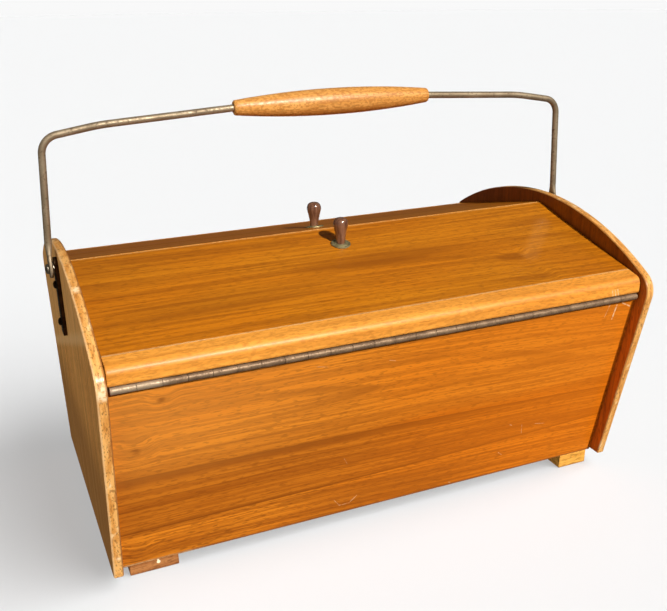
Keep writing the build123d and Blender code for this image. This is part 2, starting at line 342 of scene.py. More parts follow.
def cut(made, shells, flip=(1, 1), material=None):
    """Cuts shells out of a piece. The cut faces take the material, where one is given."""
    cutter = mesh_object("cutter", shells, flip)
    if material:
        cutter.data.materials.append(material)
    modifier = made.modifiers.new("cut", "BOOLEAN")
    modifier.operation = "DIFFERENCE"
    modifier.solver = "EXACT"
    modifier.object = cutter
    if material:
        modifier.material_mode = "TRANSFER"
    evaluated = made.evaluated_get(bpy.context.evaluated_depsgraph_get())
    old = made.data
    made.data = bpy.data.meshes.new_from_object(evaluated)
    made.modifiers.clear()
    bpy.data.meshes.remove(old)
    bpy.data.objects.remove(cutter)
    made.data.set_sharp_from_angle(angle=radians(33))
    return made


# ---------------------------------------------------------------- materials


class Shading:
    """A material's nodes, with short calls for the ones used here."""

    def __init__(self, name, roughness, coat=0.0, coat_roughness=0.1, metallic=0.0, specular=0.5):
        self.material = bpy.data.materials.new(name)
        self.material.use_nodes = True
        self.tree = self.material.node_tree
        self.shader = self.tree.nodes["Principled BSDF"]
        self.shader.inputs["Roughness"].default_value = roughness
        self.shader.inputs["Coat Weight"].default_value = coat
        self.shader.inputs["Coat Roughness"].default_value = coat_roughness
        self.shader.inputs["Metallic"].default_value = metallic
        self.shader.inputs["Specular IOR Level"].default_value = specular
        self.place = self.node("ShaderNodeTexCoord").outputs["Object"]

    def node(self, kind, inputs=None, **settings):
        """A new node. An input takes a value, or a link where it is given a socket."""
        made = self.tree.nodes.new(kind)
        for name, value in settings.items():
            setattr(made, name, value)
        for name, value in (inputs or {}).items():
            if isinstance(value, bpy.types.NodeSocket):
                self.tree.links.new(value, made.inputs[name])
            else:
                made.inputs[name].default_value = value
        return made

    def noise(self, place, scale, detail=2.0, distortion=0.0, shift=0.0):
        """Noise between 0 and 1. scale is how many features fit in a metre along X, Y and Z."""
        mapped = self.node("ShaderNodeMapping", {"Vector": place, "Scale": scale, "Location": (shift,) * 3})
        inputs = {"Vector": mapped.outputs[0], "Scale": 1.0, "Detail": detail, "Distortion": distortion}
        return self.node("ShaderNodeTexNoise", inputs).outputs["Fac"]

    def step(self, value, low, high, bottom=0.0, top=1.0):
        """A smooth step of value from low to high."""
        inputs = {"Value": value, "From Min": low, "From Max": high, "To Min": bottom, "To Max": top}
        return self.node("ShaderNodeMapRange", inputs, interpolation_type="SMOOTHSTEP").outputs["Result"]

    def calculate(self, operation, first, second=0.0, third=0.0):
        """The result of one sum on sockets and numbers."""
        return self.node("ShaderNodeMath", {0: first, 1: second, 2: third}, operation=operation).outputs[0]

    def times(self, *values):
        """The product of sockets and numbers."""
        product = values[0]
        for value in values[1:]:
            product = self.calculate("MULTIPLY", product, value)
        return product

    def vector(self, operation, first, second=(0.0, 0.0, 0.0)):
        """A node for one sum on vectors."""
        return self.node("ShaderNodeVectorMath", {0: first, 1: second}, operation=operation)

    def mix(self, share, first, second):
        """The first colour where share is 0, and the second where it is 1."""
        inputs = {0: share, 6: colour(first), 7: colour(second)}
        return self.node("ShaderNodeMix", inputs, data_type="RGBA").outputs[2]

    def scaled(self, direction, amount):
        """A direction times an amount."""
        inputs = {0: tuple(direction), "Scale": amount}
        return self.node("ShaderNodeVectorMath", inputs, operation="SCALE").outputs[0]

    def shifted(self, direction, amount, place=None):
        """A place moved along a direction by an amount in metres."""
        return self.vector("ADD", place or self.place, self.scaled(direction, amount)).outputs[0]

    def curve(self, level, slope, bow):
        """level + slope * x + bow * x * x along the length, in metres. The arguments are in mm."""
        x = self.axis("X")
        rise = self.times(x, x, bow / MM)
        line = self.calculate("MULTIPLY_ADD", x, slope, level * MM)
        return self.calculate("ADD", line, rise)

    def axis(self, name):
        """The place along X, Y or Z, in metres."""
        return self.node("ShaderNodeSeparateXYZ", {0: self.place}).outputs[name]

    def near(self, point, radius, soft=1.0):
        """1 within radius of a point, in mm, and 0 beyond (1 + soft) times it."""
        offset = self.vector("SUBTRACT", self.place, Vector(point) * MM).outputs[0]
        distance = self.vector("LENGTH", offset).outputs["Value"]
        return self.step(distance, radius * (1 + soft) * MM, radius * MM)

    def patch(self, point, half_sizes, ragged):
        """A soft oval about a point. Sizes are in mm, and ragged is the noise that breaks its rim."""
        offset = self.vector("SUBTRACT", self.place, Vector(point) * MM).outputs[0]
        scaled = self.vector("DIVIDE", offset, Vector(half_sizes) * MM).outputs[0]
        distance = self.vector("LENGTH", scaled).outputs["Value"]
        return self.step(self.calculate("ADD", distance, ragged), 1.7, 0.9)

    def scratch(self, start, end, width):
        """1 on the line between two points, in mm."""
        start, end = Vector(start) * MM, Vector(end) * MM
        run = end - start
        offset = self.vector("SUBTRACT", self.place, start).outputs[0]
        share = self.vector("DOT_PRODUCT", offset, run / run.length_squared).outputs["Value"]
        share = self.node("ShaderNodeClamp", {"Value": share}).outputs[0]
        gap = self.vector("SUBTRACT", offset, self.scaled(run, share)).outputs[0]
        distance = self.vector("LENGTH", gap).outputs["Value"]
        return self.step(distance, width * MM, width * 0.3 * MM)

    def finish(self, base, roughness=None, height=None, depth=0.1):
        """Connects the colour, and the roughness and the bump where there are any. depth is in mm."""
        self.tree.links.new(base, self.shader.inputs["Base Color"])
        if roughness:
            self.tree.links.new(roughness, self.shader.inputs["Roughness"])
        if height:
            bump = self.node("ShaderNodeBump", {"Height": height, "Distance": depth * MM, "Strength": 1.0})
            self.tree.links.new(bump.outputs[0], self.shader.inputs["Normal"])
        return self.material


def colour(value):
    """A colour socket's value: a socket as it is, and red, green and blue with full alpha."""
    return value if isinstance(value, bpy.types.NodeSocket) else (*value, 1.0)


def stretched(grain, along, across):
    """A noise scale with one value along the grain's axis and another across it."""
    scale = [across] * 3
    scale["XYZ".index(grain)] = along
    return tuple(scale)


def darker(tone, share):
    """A colour with each channel times share."""
    return tuple(share * channel for channel in tone)


def wood(shading, grain, tones, place=None, contrast=1.0, streaks=(0.46, 0.80), bands=45.0, shift=0.0):
    """Colour, roughness and height of lacquered wood, with its grain along the given axis.

    tones are the light, dark and warm colours. bands is how many broad streaks fit in a metre.
    """
    light, dark, warm = tones
    if place is None:
        warp = shading.noise(shading.place, stretched(grain, 5.0, 9.0), shift=shift)
        offset = [1.0, 1.0, 1.0]
        offset["XYZ".index(grain)] = 0.0
        place = shading.shifted(offset, shading.times(warp, 0.022))
    figure = shading.noise(place, stretched(grain, 1.6, bands), detail=3.0, shift=shift)
    lines = shading.noise(place, stretched(grain, 2.0, 230.0), detail=4.0, shift=shift)
    threads = shading.noise(place, stretched(grain, 9.0, 480.0), detail=2.0, shift=shift)
    fibre = shading.noise(place, stretched(grain, 55.0, 950.0), detail=2.0, shift=shift)
    pores = shading.noise(place, stretched(grain, 150.0, 900.0), detail=1.0, shift=shift)
    cloud = shading.noise(place, stretched(grain, 6.0, 16.0), detail=2.0, shift=shift)
    base = shading.mix(shading.step(figure, *streaks), light, dark)
    base = shading.mix(shading.step(cloud, 0.38, 0.66, 0.0, 0.5), base, warm)
    base = shading.mix(shading.step(lines, 0.48, 0.60, 0.0, 0.62 * contrast), base, dark)
    base = shading.mix(shading.step(threads, 0.49, 0.57, 0.0, 0.62 * contrast), base, dark)
    base = shading.mix(shading.step(fibre, 0.46, 0.70, 0.0, 0.34), base, light)
    pore_share = shading.step(pores, 0.55, 0.66, 0.0, 0.55 * contrast)
    base = shading.mix(pore_share, base, darker(dark, 0.5))
    height = shading.calculate("SUBTRACT", fibre, pore_share)
    roughness = shading.step(lines, 0.3, 0.7, 0.30, 0.42)
    return base, roughness, height


def growth_rings(shading, base, dark, place, scale, count, strength, shift):
    """Long flowing lines, dark and crisp on one side and fading on the other."""
    field = shading.noise(place, scale, detail=1.2, shift=shift)
    phase = shading.calculate("FRACT", shading.times(field, count))
    line = shading.times(shading.step(phase, 0.62, 0.95), shading.step(phase, 1.0, 0.96))
    uneven = shading.step(shading.noise(place, stretched("X", 9.0, 60.0), shift=shift), 0.35, 0.62, 0.25, 1.0)
    share = shading.times(line, uneven, strength)
    return shading.mix(share, base, dark)


def knotted(shading, across, knots):
    """The place, with the grain dipping round each knot, and a mask of the knots' dark middles."""
    place = shading.place
    middles = 0.0
    for point, reach, dip in knots:
        dip_here = shading.times(shading.near(point, reach, 3.0), dip * MM)
        place = shading.shifted(across, dip_here, place)
        middles = shading.calculate("MAXIMUM", middles, shading.near(point, reach * 0.12, 9.0))
    broken = shading.step(shading.noise(place, stretched("X", 90.0, 420.0), detail=2.0), 0.40, 0.60)
    return place, shading.times(middles, broken)


def wear_and_highlight(shading, base, tone, marks):
    """Lays pale marks over the colour, broken up where the wear has missed. Most are wear; the spot at the
    end edge's shoulder is a painted highlight.
    """
    missed = shading.noise(shading.place, (420.0, 420.0, 420.0), detail=2.0)
    for mark, strength in marks:
        kept = shading.step(missed, 0.36, 0.58, 0.25 * strength, strength)
        base = shading.mix(shading.times(mark, kept), base, tone)
    return base


def on_wall(x, z):
    """A point on the front wall's outer face."""
    return (x, -wall_face(z), z)


def on_lid(x, y):
    """A point on the front lid's upper face, y from the ridge."""
    return (x, -y, lid_top(y))


# Fine dark lines along the wall's band: distance below its upper side, width and strength
band_lines = ((-14.0, 1.4, 0.5), (-27.0, 1.2, 0.35), (12.0, 1.4, 0.6), (20.0, 1.2, 0.5), (27.0, 1.4, 0.45))

# Pale scratches on the wall: X and Z of both ends, width and strength
wall_scratches = (
    ((183.0, 157), (182.0, 145), 0.8, 1.0),
    ((176.0, 158.5), (174.0, 148), 0.5, 0.7),
    ((188.0, 158), (196.0, 154), 0.7, 0.9),
    ((120.0, 58), (121.5, 49), 0.35, 0.5),
    ((133.0, 56), (143.0, 54), 0.40, 0.4),
    ((108.0, 61), (110.0, 60), 0.50, 0.6),
    ((103.0, 34), (106.5, 31), 0.50, 0.6),
    ((-41.0, 27), (-36.0, 20), 0.35, 0.6),
    ((-36.0, 20), (-28.0, 20), 0.35, 0.6),
    ((-28.0, 20), (-22.0, 26), 0.40, 0.7),
    ((-36.0, 66), (-33.0, 60), 0.35, 0.4),
    ((-9.0, 146), (-4.0, 144.5), 0.45, 0.45),
    ((-64.0, 152), (-55.0, 150), 0.40, 0.35),
    ((60.0, 15), (61.5, 14.5), 0.6, 0.6),
)


def wall_band(shading, base, dark, warm, sway):
    """The darker zone across the middle, with a crisp line at each side and finer ones along it."""
    top = shading.curve(88.5, -0.029, -0.0000656)
    bottom = shading.curve(45.0, 0.021, 0.00006)
    rippled = shading.calculate("ADD", shading.axis("Z"), shading.times(sway, 0.003))
    above = shading.calculate("SUBTRACT", rippled, bottom)
    below = shading.calculate("SUBTRACT", top, rippled)
    inside = shading.times(shading.step(above, -0.0006, 0.001), shading.step(below, -0.0006, 0.001))
    to_right = shading.step(shading.axis("X"), -0.10, 0.20)
    fade = shading.calculate("MULTIPLY_ADD", to_right, -0.24, 0.50)
    base = shading.mix(shading.times(inside, fade), base, dark)
    lines = [(below, 1.8, 0.85), (below, 9.0, 0.5), (above, 1.6, 0.85), (above, 5.0, 0.5)]
    for offset, width, strength in band_lines:
        lines.append((shading.calculate("SUBTRACT", below, offset * MM), width, strength))
    for distance, width, strength in lines:
        near_side = shading.step(distance, -0.0003, 0.0004)
        far_side = shading.step(distance, width * MM, 0.0004)
        base = shading.mix(shading.times(near_side, far_side, strength), base, darker(dark, 0.72))
    return shading.mix(shading.times(to_right, 0.42), base, warm)


def wall_wear_and_edge_shade(shading, base):
    """Scratches, a dark line along the lower edge that is painted shade, and a bare place at its left end."""
    z = shading.axis("Z")
    marks = []
    for start, end, width, strength in wall_scratches:
        marks.append((shading.scratch(on_wall(*start), on_wall(*end), width), strength))
    base = wear_and_highlight(shading, base, (0.78, 0.52, 0.30), marks)
    # Painted shade: a dark line along the wall's lower edge, where it meets the floor.
    painted_edge_shade = shading.step(z, (wall_low.z + 2.4) * MM, (wall_low.z + 0.8) * MM, 0.0, 0.6)
    base = shading.mix(painted_edge_shade, base, (0.20, 0.075, 0.026))
    bare = shading.times(shading.step(z, 0.0145, 0.0125), shading.step(shading.axis("X"), -0.135, -0.155))
    return wear_and_highlight(shading, base, (0.66, 0.40, 0.20), [(bare, 0.7)])


def wall_veneer():
    """Orange-brown veneer in long streaks, with knots at the left and a darker band across it."""
    shading = Shading("wall_veneer", 0.34, coat=0.1, coat_roughness=0.18, specular=0.22)
    light, dark, warm = (0.73, 0.232, 0.014), (0.33, 0.082, 0.004), (0.74, 0.175, 0.003)
    up = (0.0, 0.0, 1.0)
    knots = [(on_wall(-185, 113), 4.5, 4.0), (on_wall(-167, 149), 3.5, 3.0), (on_wall(-186, 24), 3.5, 2.5)]
    place, middles = knotted(shading, up, knots)
    sway = shading.noise(place, (3.2, 3.2, 10.0), detail=1.0, shift=2.0)
    place = shading.shifted(up, shading.times(sway, 0.016), place)
    place = shading.shifted(up, shading.curve(0.0, 0.026, 0.000065), place)
    base, roughness, height = wood(shading, "X", (light, dark, warm), place, 0.95, (0.48, 0.78), 60.0, 3.1)
    ring_scale = (0.26, 0.26, 8.0)
    base = growth_rings(shading, base, darker(dark, 0.75), place, ring_scale, 60.0, 0.62, 4.4)
    base = wall_band(shading, base, dark, warm, sway)
    x, z = shading.axis("X"), shading.axis("Z")
    calm = shading.times(shading.step(z, 0.082, 0.100), 0.22)
    base = shading.mix(calm, base, (0.63, 0.205, 0.016))
    low_middle = shading.times(shading.step(z, 0.048, 0.032), shading.step(x, -0.11, -0.02))
    low_right = shading.step(x, 0.02, 0.14, 1.0, 0.0)
    base = shading.mix(shading.times(low_middle, low_right, 0.55), base, dark)
    tan_corner = shading.times(shading.step(x, 0.02, -0.19), shading.step(z, 0.06, 0.13))
    base = shading.mix(shading.times(tan_corner, 0.26), base, (0.80, 0.36, 0.080))
    base = shading.mix(shading.times(middles, 0.62), base, (0.20, 0.055, 0.008))
    return shading.finish(wall_wear_and_edge_shade(shading, base), roughness, height, 0.05)


# Darker patches on the front lid: X, distance from the ridge, half length, half width and strength
lid_patches = (
    (22.0, 55.0, 75.0, 15.0, 0.55),
    (20.0, 59.0, 40.0, 4.0, 0.6),
    (119.0, 76.0, 15.0, 6.0, 0.75),
    (118.0, 107.0, 22.0, 4.0, 0.5),
    (-120.0, 80.0, 90.0, 14.0, 0.35),
)


def lid_veneer():
    """Golden-brown veneer, softly streaked, pale from wear along the ridge, with a painted reflection of the
    rod near its right end.
    """
    shading = Shading("lid_veneer", 0.30, coat=0.12, coat_roughness=0.12, specular=0.25)
    light, dark, warm = (0.56, 0.190, 0.007), (0.27, 0.074, 0.003), (0.54, 0.145, 0.003)
    knots = [(on_lid(124, 77), 5.0, 5.0), (on_lid(126, 108), 4.0, 4.0)]
    place, middles = knotted(shading, (0.0, 1.0, 0.0), knots)
    sway = shading.noise(place, (3.0, 9.0, 3.0), detail=1.0, shift=6.0)
    place = shading.shifted((0.0, 1.0, 0.0), shading.times(sway, 0.014), place)
    base, roughness, height = wood(shading, "X", (light, dark, warm), place, 0.60, (0.46, 0.84), 36.0, 7.7)
    base = growth_rings(shading, base, dark, place, (0.42, 6.5, 0.42), 36.0, 0.5, 2.9)
    base = shading.mix(shading.times(middles, 0.45), base, (0.16, 0.045, 0.006))
    ragged = shading.noise(place, (14.0, 90.0, 14.0), detail=3.0)
    for x, y, length, width, strength in lid_patches:
        shade = shading.patch(on_lid(x, y), (length, width, width), ragged)
        base = shading.mix(shading.times(shade, strength), base, dark)
    # A faint pale streak towards the right end: a painted reflection of the right rod.
    painted_rod_reflection = shading.scratch(on_lid(178.0, 34.0), on_lid(134.0, 80.0), 9.0)
    base = shading.mix(shading.times(painted_rod_reflection, 0.07), base, (0.80, 0.42, 0.14))
    from_ridge = shading.calculate("ABSOLUTE", shading.axis("Y"))
    ridge = shading.step(from_ridge, 0.0026, 0.0010)
    joint = shading.step(from_ridge, (moulding_inner - 1.2) * MM, (moulding_inner - 0.3) * MM)
    base = wear_and_highlight(shading, base, (0.76, 0.42, 0.14), [(ridge, 0.40), (joint, 0.32)])
    return shading.finish(base, roughness, height, 0.05)


def moulding_wood():
    """Paler solid wood with fine flecks, with wear at its joint and at the right end."""
    shading = Shading("moulding_wood", 0.48, coat=0.14, coat_roughness=0.32, specular=0.35)
    light, dark, warm = (0.86, 0.365, 0.055), (0.54, 0.190, 0.020), (0.86, 0.295, 0.026)
    base, _, height = wood(shading, "X", (light, dark, warm), None, 0.5, (0.42, 0.8), 120.0, 1.3)
    flecks = shading.noise(shading.place, (260.0, 700.0, 700.0), detail=3.0)
    base = shading.mix(shading.step(flecks, 0.50, 0.62, 0.0, 0.42), base, (0.46, 0.160, 0.020))
    from_middle = shading.calculate("ABSOLUTE", shading.axis("Y"))
    joint = shading.step(from_middle, (moulding_inner + 1.3) * MM, (moulding_inner + 0.3) * MM)
    marks = [(joint, 0.5)]
    for x in (173.0, 175.5, 178.0):
        marks.append((shading.scratch((x, -130.4, 171.5), (x + 1.5, -130.4, 166.5), 0.8), 1.0))
    base = wear_and_highlight(shading, base, (0.84, 0.58, 0.30), marks)
    return shading.finish(base, None, height, 0.04)


def end_outer_face():
    """Olive-brown with upright grain, a lit tone of the inner face's veneer, which is painted light. On the
    left panel the part above a slanting line is lighter and a pale band runs along it, both painted light;
    the lower part is darker, painted shade.
    """
    shading = Shading("end_outer_face", 0.6, specular=0.2)
    light, dark, warm = (0.88, 0.450, 0.130), (0.40, 0.180, 0.045), (0.84, 0.360, 0.080)
    base, roughness, height = wood(shading, "Z", (light, dark, warm), None, 0.8, (0.46, 0.86), 90.0, 5.5)
    # Painted light on the left panel only: lighter above a slanting line, with a pale band along it.
    slant = shading.calculate("MULTIPLY_ADD", shading.axis("Y"), 0.386, shading.axis("Z"))
    # Painted shade: darker towards the bottom.
    shade_lower_down = shading.step(shading.axis("Z"), 0.125, 0.07)
    base = shading.mix(shading.times(shade_lower_down, 0.72), base, (0.34, 0.150, 0.037))
    on_left = shading.step(shading.axis("X"), 0.0, -half_length * MM)
    paler = shading.times(on_left, shading.step(slant, 0.1415, 0.1480))
    band = shading.times(paler, shading.step(slant, 0.1560, 0.1490))
    base = shading.mix(shading.times(paler, 0.36), base, (0.86, 0.50, 0.20))
    base = shading.mix(shading.times(band, 0.55), base, (0.86, 0.56, 0.26))
    return shading.finish(base, shading.step(roughness, 0.3, 0.42, 0.55, 0.7), height, 0.05)


def end_inner_face():
    """The same veneer as outside, in a darker and redder tone that is painted shade, deepest above the lids.
    """
    shading = Shading("end_inner_face", 0.5, specular=0.3)
    light, dark, warm = (0.58, 0.130, 0.009), (0.33, 0.064, 0.005), (0.58, 0.104, 0.006)
    base, roughness, height = wood(shading, "Z", (light, dark, warm), None, 0.9, (0.42, 0.76), 60.0, 9.4)
    # Painted shade above the lids, between their edges and the crown.
    shade_above_lids = shading.step(shading.axis("Z"), 0.160, 0.182)
    base = shading.mix(shading.times(shade_above_lids, 0.68), base, (0.035, 0.009, 0.001))
    return shading.finish(base, roughness, height, 0.05)


# Pale spots on the left end panel's front edge: Y, Z and radius. The one at the front shoulder (Y -139) is a
# painted highlight; the others are wear.
edge_spots = (
    (-64.0, 204.0, 2.6),
    (-72.0, 200.0, 1.6),
    (-80.0, 196.0, 2.2),
    (-139.0, 166.0, 3.5),
    (-108.0, 31.0, 1.6),
)


def end_edge():
    """Light edge veneer: mottled and stained along its length, pale from wear on the crown and in random
    patches, with a painted highlight at the front shoulder.
    """
    shading = Shading("end_edge", 0.36, coat=0.3, coat_roughness=0.2, specular=0.4)
    across = shading.calculate("ABSOLUTE", shading.axis("X"))
    blotch = shading.noise(shading.place, (300.0, 60.0, 60.0), detail=4.0)
    stain = shading.noise(shading.place, (420.0, 90.0, 90.0), detail=4.0, shift=3.0)
    speck = shading.noise(shading.place, (900.0, 420.0, 420.0), detail=3.0)
    base = shading.mix(shading.step(blotch, 0.40, 0.62), (0.86, 0.46, 0.145), (0.68, 0.295, 0.062))
    base = shading.mix(shading.step(stain, 0.54, 0.66, 0.0, 0.6), base, (0.40, 0.13, 0.022))
    base = shading.mix(shading.step(speck, 0.54, 0.64, 0.0, 0.7), base, (0.25, 0.10, 0.020))
    bright_patch = shading.noise(shading.place, (160.0, 70.0, 70.0), detail=4.0, shift=8.0)
    base = shading.mix(shading.step(bright_patch, 0.60, 0.68, 0.0, 0.75), base, (0.92, 0.66, 0.36))
    marks = []
    for y, z, radius in edge_spots:
        marks.append((shading.near((-half_length - 3.0, y, z), radius, 1.2), 0.9))
    base = wear_and_highlight(shading, base, (0.95, 0.76, 0.50), marks)
    inner_line = shading.step(across, (half_length + 1.3) * MM, (half_length + 0.8) * MM, 0.0, 0.65)
    base = shading.mix(inner_line, base, (0.26, 0.075, 0.012))
    outer_ply = shading.step(across, (end_face - 1.6) * MM, (end_face - 1.0) * MM, 0.0, 0.65)
    base = shading.mix(outer_ply, base, (0.78, 0.50, 0.25))
    return shading.finish(base, shading.step(blotch, 0.3, 0.7, 0.28, 0.5), speck, 0.05)


def ply(name, light, dark, grain="X", chip=None):
    """Plain wood. chip is the point, in mm, of a pale chip in it."""
    shading = Shading(name, 0.55, coat=0.05, specular=0.3)
    base, _, height = wood(shading, grain, (light, dark, light), None, 1.0, (0.45, 0.75), 60.0, 4.2)
    mottle = shading.noise(shading.place, (380.0, 380.0, 380.0), detail=4.0)
    base = shading.mix(shading.step(mottle, 0.54, 0.68, 0.0, 0.4), base, darker(dark, 0.5))
    if chip:
        below = tuple(Vector(chip) - Vector((-0.4, 0.0, 2.6)))
        drop = shading.calculate("MAXIMUM", shading.near(chip, 0.5, 0.8), shading.near(below, 1.0, 0.6))
        drop = shading.calculate("MAXIMUM", drop, shading.scratch(chip, below, 1.0))
        base = shading.mix(drop, base, (0.95, 0.86, 0.62))
    return shading.finish(base, shading.step(height, 0.0, 1.0, 0.5, 0.62), height, 0.06)


def grip_wood():
    """Turned wood with short dark flecks."""
    shading = Shading("grip_wood", 0.46, coat=0.22, coat_roughness=0.34, specular=0.35)
    light, dark, warm = (0.76, 0.385, 0.105), (0.54, 0.22, 0.040), (0.74, 0.31, 0.060)
    base = wood(shading, "X", (light, dark, warm), None, 0.7, (0.42, 0.8), 150.0, 2.2)[0]
    flecks = shading.noise(shading.place, (400.0, 720.0, 720.0), detail=2.0)
    base = shading.mix(shading.step(flecks, 0.48, 0.58, 0.0, 0.75), base, (0.44, 0.165, 0.028))
    crack = shading.scratch((64.0, -6.4, 306.5), (81.0, -5.4, 302.5), 0.45)
    base = shading.mix(shading.times(crack, 0.6), base, (0.30, 0.10, 0.015))
    return shading.finish(base, shading.step(flecks, 0.35, 0.65, 0.36, 0.52), flecks, 0.05)


def knob_wood():
    """Dark polished wood."""
    shading = Shading("knob_wood", 0.26, coat=0.9, coat_roughness=0.13)
    streak = shading.noise(shading.place, (420.0, 420.0, 50.0), detail=3.0)
    base = shading.mix(shading.step(streak, 0.30, 0.74), (0.210, 0.100, 0.058), (0.088, 0.036, 0.022))
    return shading.finish(base, None, streak, 0.02)


def metal(name, bright, dull, stain, roughness, scale, metallic=1.0, bright_patch=None):
    """Worn plating: bright and dull areas with small stains.

    The last argument is a painted highlight: its middle and its radius in mm, and its colour.
    """
    shading = Shading(name, roughness, metallic=metallic)
    patches = shading.noise(shading.place, (scale,) * 3, detail=4.0)
    specks = shading.noise(shading.place, (scale * 7,) * 3, detail=3.0)
    base = shading.mix(shading.step(patches, 0.36, 0.64), bright, dull)
    base = shading.mix(shading.step(specks, 0.56, 0.72, 0.0, 0.8), base, stain)
    # A painted highlight, where one is given.
    if bright_patch:
        middle, radius, tone = bright_patch
        base = shading.mix(shading.times(shading.near(middle, radius), 0.7), base, tone)
    rough = shading.step(specks, 0.35, 0.7, roughness, min(1.0, roughness + 0.28))
    return shading.finish(base, rough, specks, 0.03)


left_foot_low, left_foot_high = box_mm("front_left_foot")
foot_chip = (left_foot_low.x + 20.0, left_foot_low.y, left_foot_high.z - 3.0)

materials = {
    "wall": wall_veneer(),
    "lid": lid_veneer(),
    "moulding": moulding_wood(),
    "end_outer": end_outer_face(),
    "end_inner": end_inner_face(),
    "end_edge": end_edge(),
    "inner": ply("inner_ply", (0.55, 0.36, 0.18), (0.36, 0.20, 0.085)),
    "board_edge": ply("board_edge", (0.50, 0.28, 0.10), (0.30, 0.13, 0.04)),
    "plain": ply("plain_wood", (0.66, 0.40, 0.13), (0.44, 0.22, 0.055)),
    "left_foot": ply("left_foot_wood", (0.46, 0.19, 0.060), (0.28, 0.09, 0.025), chip=foot_chip),
    "right_foot": ply("right_foot_wood", (0.82, 0.41, 0.075), (0.60, 0.26, 0.035)),
    "grip": grip_wood(),
    "knob": knob_wood(),
    "rod": metal(
        "rod_metal", (0.37, 0.295, 0.205), (0.27, 0.205, 0.135), (0.15, 0.10, 0.062), 0.46, 60.0, 0.68,
    ),
    "hinge": metal(
        "hinge_metal", (0.28, 0.185, 0.112), (0.185, 0.116, 0.068), (0.09, 0.052, 0.030), 0.46, 150.0, 0.45,
        # The bright patch at the hinge's left end is a painted highlight.
        bright_patch=((-184.0, -hinge_y, hinge_z), 13.0, (0.48, 0.37, 0.26)),
    ),
    "rosette": metal(
        "rosette_metal", (0.46, 0.40, 0.22), (0.28, 0.24, 0.12), (0.13, 0.11, 0.06), 0.40, 250.0, 0.8,
    ),
    "strap": metal(
        "strap_metal", (0.10, 0.055, 0.028), (0.06, 0.034, 0.018), (0.025, 0.015, 0.01), 0.40, 150.0,
    ),
    "rivet": metal("rivet_metal", (0.50, 0.44, 0.36), (0.32, 0.27, 0.21), (0.14, 0.11, 0.08), 0.28, 220.0),
    "screw": metal("screw_metal", (0.46, 0.40, 0.32), (0.30, 0.25, 0.19), (0.12, 0.09, 0.07), 0.36, 260.0),
}


# ---------------------------------------------------------------- the case


def end_outline():
    """A flared panel cut off by the crown's arc, with rounded shoulders, in Y and Z."""
    lean = hypot(1.0, flare)
    inward = Vector((-1.0, flare)) / lean
    upward = Vector((flare, 1.0)) / lean
    crown_middle = Vector((0.0, panel_high.z - crown_radius))
    foot = Vector((wall_face(panel_low.z) + wall_recess, panel_low.z))
    start = foot + inward * shoulder_radius - crown_middle
    reach = crown_radius - shoulder_radius
    along = -start.dot(upward) + sqrt(start.dot(upward) ** 2 - start.length_squared + reach**2)
    shoulder = foot + inward * shoulder_radius + upward * along
    lean_angle = -atan(flare) * 180 / pi
    crown_angle = (shoulder - crown_middle).angle_signed(Vector((1.0, 0.0))) * 180 / pi
    side = [(foot.x, foot.y), tuple(foot + upward * 1.0), tuple(foot + upward * (along - 1.0))]
    side += arc_points(shoulder, shoulder_radius, lean_angle, crown_angle, 16)
    crown = arc_points(crown_middle, crown_radius, crown_angle, 180 - crown_angle, 72)[1:-1]
    mirrored = [(-y, z) for y, z in reversed(side)]
    return counter_clockwise(side + crown + mirrored)


def end_panels():
    """Both end panels: one veneer in a lit tone outside and a shaded tone inside, which is painted light and
    shade, and its own veneer on the edge.
    """
    for side, sign in right_and_left:
        shells = [plate(end_outline(), half_length, end_face, panel_edge_round)]
        made = piece(f"{side}_end_panel", shells, "case", materials["end_edge"], (sign, 1))
        paint_faces(
            made,
            [materials["end_outer"], materials["end_inner"]],
            lambda middle, normal: 0 if abs(normal.x) < 0.8 else (1 if normal.x * sign > 0 else 2),
        )


def wall_panels():
    """Front and back panels, leaning out."""
    low, high = wall_low.z, wall_high.z
    run = wall_thickness / cos(atan(flare))
    section = rounded([
        (-wall_face(low), low, board_round),
        (run - wall_face(low), low, board_round),
        (run - wall_face(high), high, board_round),
        (-wall_face(high), high, board_round),
    ])
    for place, sign in front_and_back:
        shells = [plate(section, -half_length + seam, half_length - seam, 0.3)]
        made = piece(f"{place}_panel", shells, "case", materials["wall"], (1, sign))
        paint_faces(
            made,
            [materials["inner"], materials["board_edge"]],
            lambda middle, normal: 2 if abs(normal.y) < 0.75 else (0 if normal.y * sign < 0 else 1),
        )


def bottom_board():
    """The board between the two walls, its edges leaning with them."""
    low, high = floor_board_low, floor_board_high
    run = wall_thickness / cos(atan(flare))
    near, far = wall_face(low.z) - run - seam, wall_face(high.z) - run - seam
    section = rounded([(-near, low.z, 0.3), (near, low.z, 0.3), (far, high.z, 0.3), (-far, high.z, 0.3)])
    shells = [plate(section, -half_length + seam, half_length - seam, 0.3)]
    piece("bottom_panel", shells, "case", materials["inner"])


def foot_block(node, material):
    """A block that stands for one foot."""
    low, high = box_mm(node)
    section = rounded([
        (low.y, low.z, 0.9),
        (high.y, low.z, 0.9),
        (high.y, high.z - 0.02, 0.3),
        (low.y, high.z - 0.02, 0.3),
    ])
    return piece(node, [plate(section, low.x, high.x, 0.7)], "case", material)


def feet():
    """The four feet. The two front ones have a colour each."""
    foot_block("back_left_foot", materials["plain"])
    foot_block("back_right_foot", materials["plain"])
    foot_block("front_right_foot", materials["right_foot"])
    foot_block("front_left_foot", materials["left_foot"])


